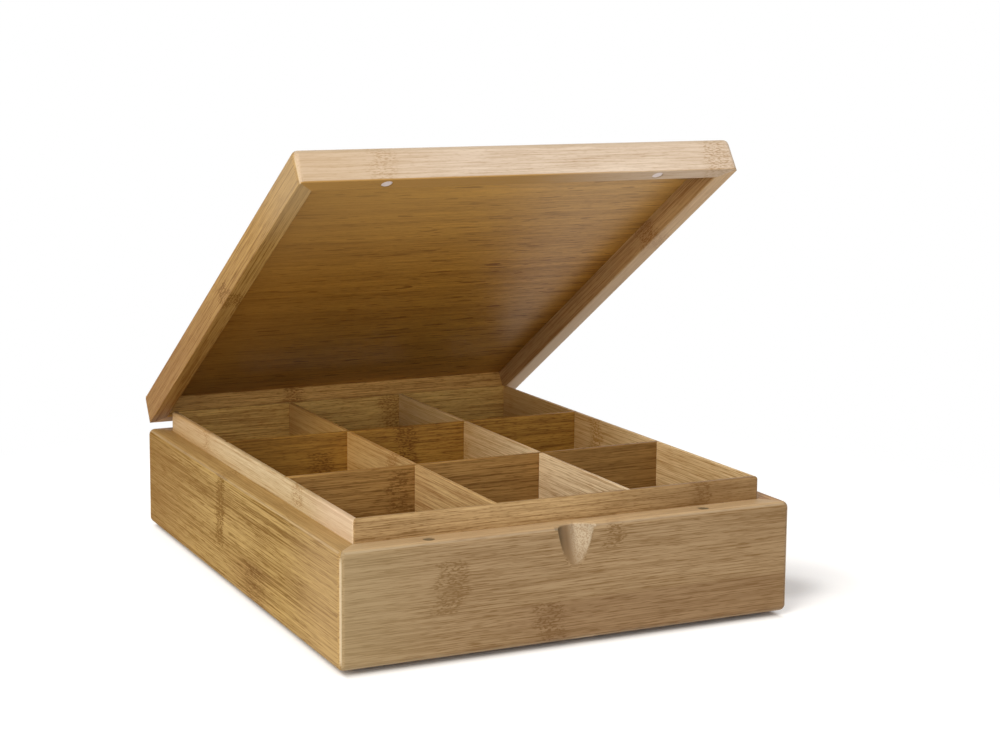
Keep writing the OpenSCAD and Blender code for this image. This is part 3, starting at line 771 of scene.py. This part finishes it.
def add_floor():
    """Pale sweep that keeps the box's shadow and runs out to white a little way off.

    Seen directly, it is the paper's own light and shade plus the lift, and that turns to white
    between two distances. To everything else it is the paper alone.
    """
    around = ((-1, -1), (1, -1), (1, 1), (-1, 1))
    corners = [(x * FLOOR_REACH, y * FLOOR_REACH, -FOOT_H * MM) for x, y in around]
    mesh = bpy.data.meshes.new("floor")
    mesh.from_pydata(corners, [], [(0, 1, 2, 3)])
    floor = bpy.data.objects.new("floor", mesh)
    bpy.context.collection.objects.link(floor)
    material, tree = new_material("pale paper floor")
    paper = add(tree, "ShaderNodeBsdfDiffuse", {"Color": linear("#F6F5F3")}).outputs[0]
    place = object_place(tree)
    brighter = {"Color": WHITE, "Strength": clear_of_box(tree, place)}
    lift = add(tree, "ShaderNodeEmission", brighter).outputs[0]
    white = add(tree, "ShaderNodeEmission", {"Color": WHITE, "Strength": 1.0}).outputs[0]
    lifted = add(tree, "ShaderNodeAddShader", {0: paper, 1: lift}).outputs[0]
    away = add(tree, "ShaderNodeVectorMath", {0: place}, operation="LENGTH").outputs["Value"]
    sweep = smooth(tree, away, WHITE_FROM, WHITE_AT)
    seen = add(tree, "ShaderNodeMixShader", {0: sweep, 1: lifted, 2: white}).outputs[0]
    finish_material(tree, add(tree, "ShaderNodeMixShader", {0: seen_directly(tree), 1: paper, 2: seen}))
    mesh.materials.append(material)


def add_world():
    """Soft even light from all round; white to the camera and in reflections."""
    world = bpy.data.worlds.new("studio")
    bpy.context.scene.world = world
    world.use_nodes = True
    tree = world.node_tree
    tree.nodes.clear()
    soft = {"Color": linear("#F4F6FA"), "Strength": WORLD_LIGHT}
    light = add(tree, "ShaderNodeBackground", soft).outputs[0]
    white = add(tree, "ShaderNodeBackground", {"Color": WHITE, "Strength": 1.0}).outputs[0]
    both = add(tree, "ShaderNodeMixShader", {0: seen_directly(tree), 1: light, 2: white})
    add(tree, "ShaderNodeOutputWorld", {"Surface": both.outputs[0]})


def add_lamps():
    """Far lamps with soft-edged shadows, each turned to shine from its own direction."""
    for name, towards, strength, spread, colour in LAMPS:
        data = bpy.data.lights.new(name, "SUN")
        data.energy = strength
        data.angle = math.radians(spread)
        data.color = linear(colour)[:3]
        lamp = bpy.data.objects.new(name, data)
        lamp.location = Vector(towards)
        lamp.rotation_euler = Vector(towards).to_track_quat("Z", "Y").to_euler()
        bpy.context.collection.objects.link(lamp)


def main():
    """Sets the camera, rounds the outer boards, gives each piece its material, and lights the scene."""
    bpy.context.scene.view_settings.view_transform = "Standard"
    add_camera()
    round_corners(["front_wall", "left_wall", "right_wall", "back_wall"], BASE_BLOCK, "base")
    round_corners(["front_liner", "left_liner", "right_liner", "back_liner"], LIP_BLOCK, "base")
    round_corners(["lid_front_rail", "lid_left_rail", "lid_right_rail"], LID_BLOCK, "lid")
    dress_walls()
    dress_liner()
    dress_dividers()
    dress_lid()
    dress_fittings()
    add_floor()
    add_world()
    add_lamps()


main()
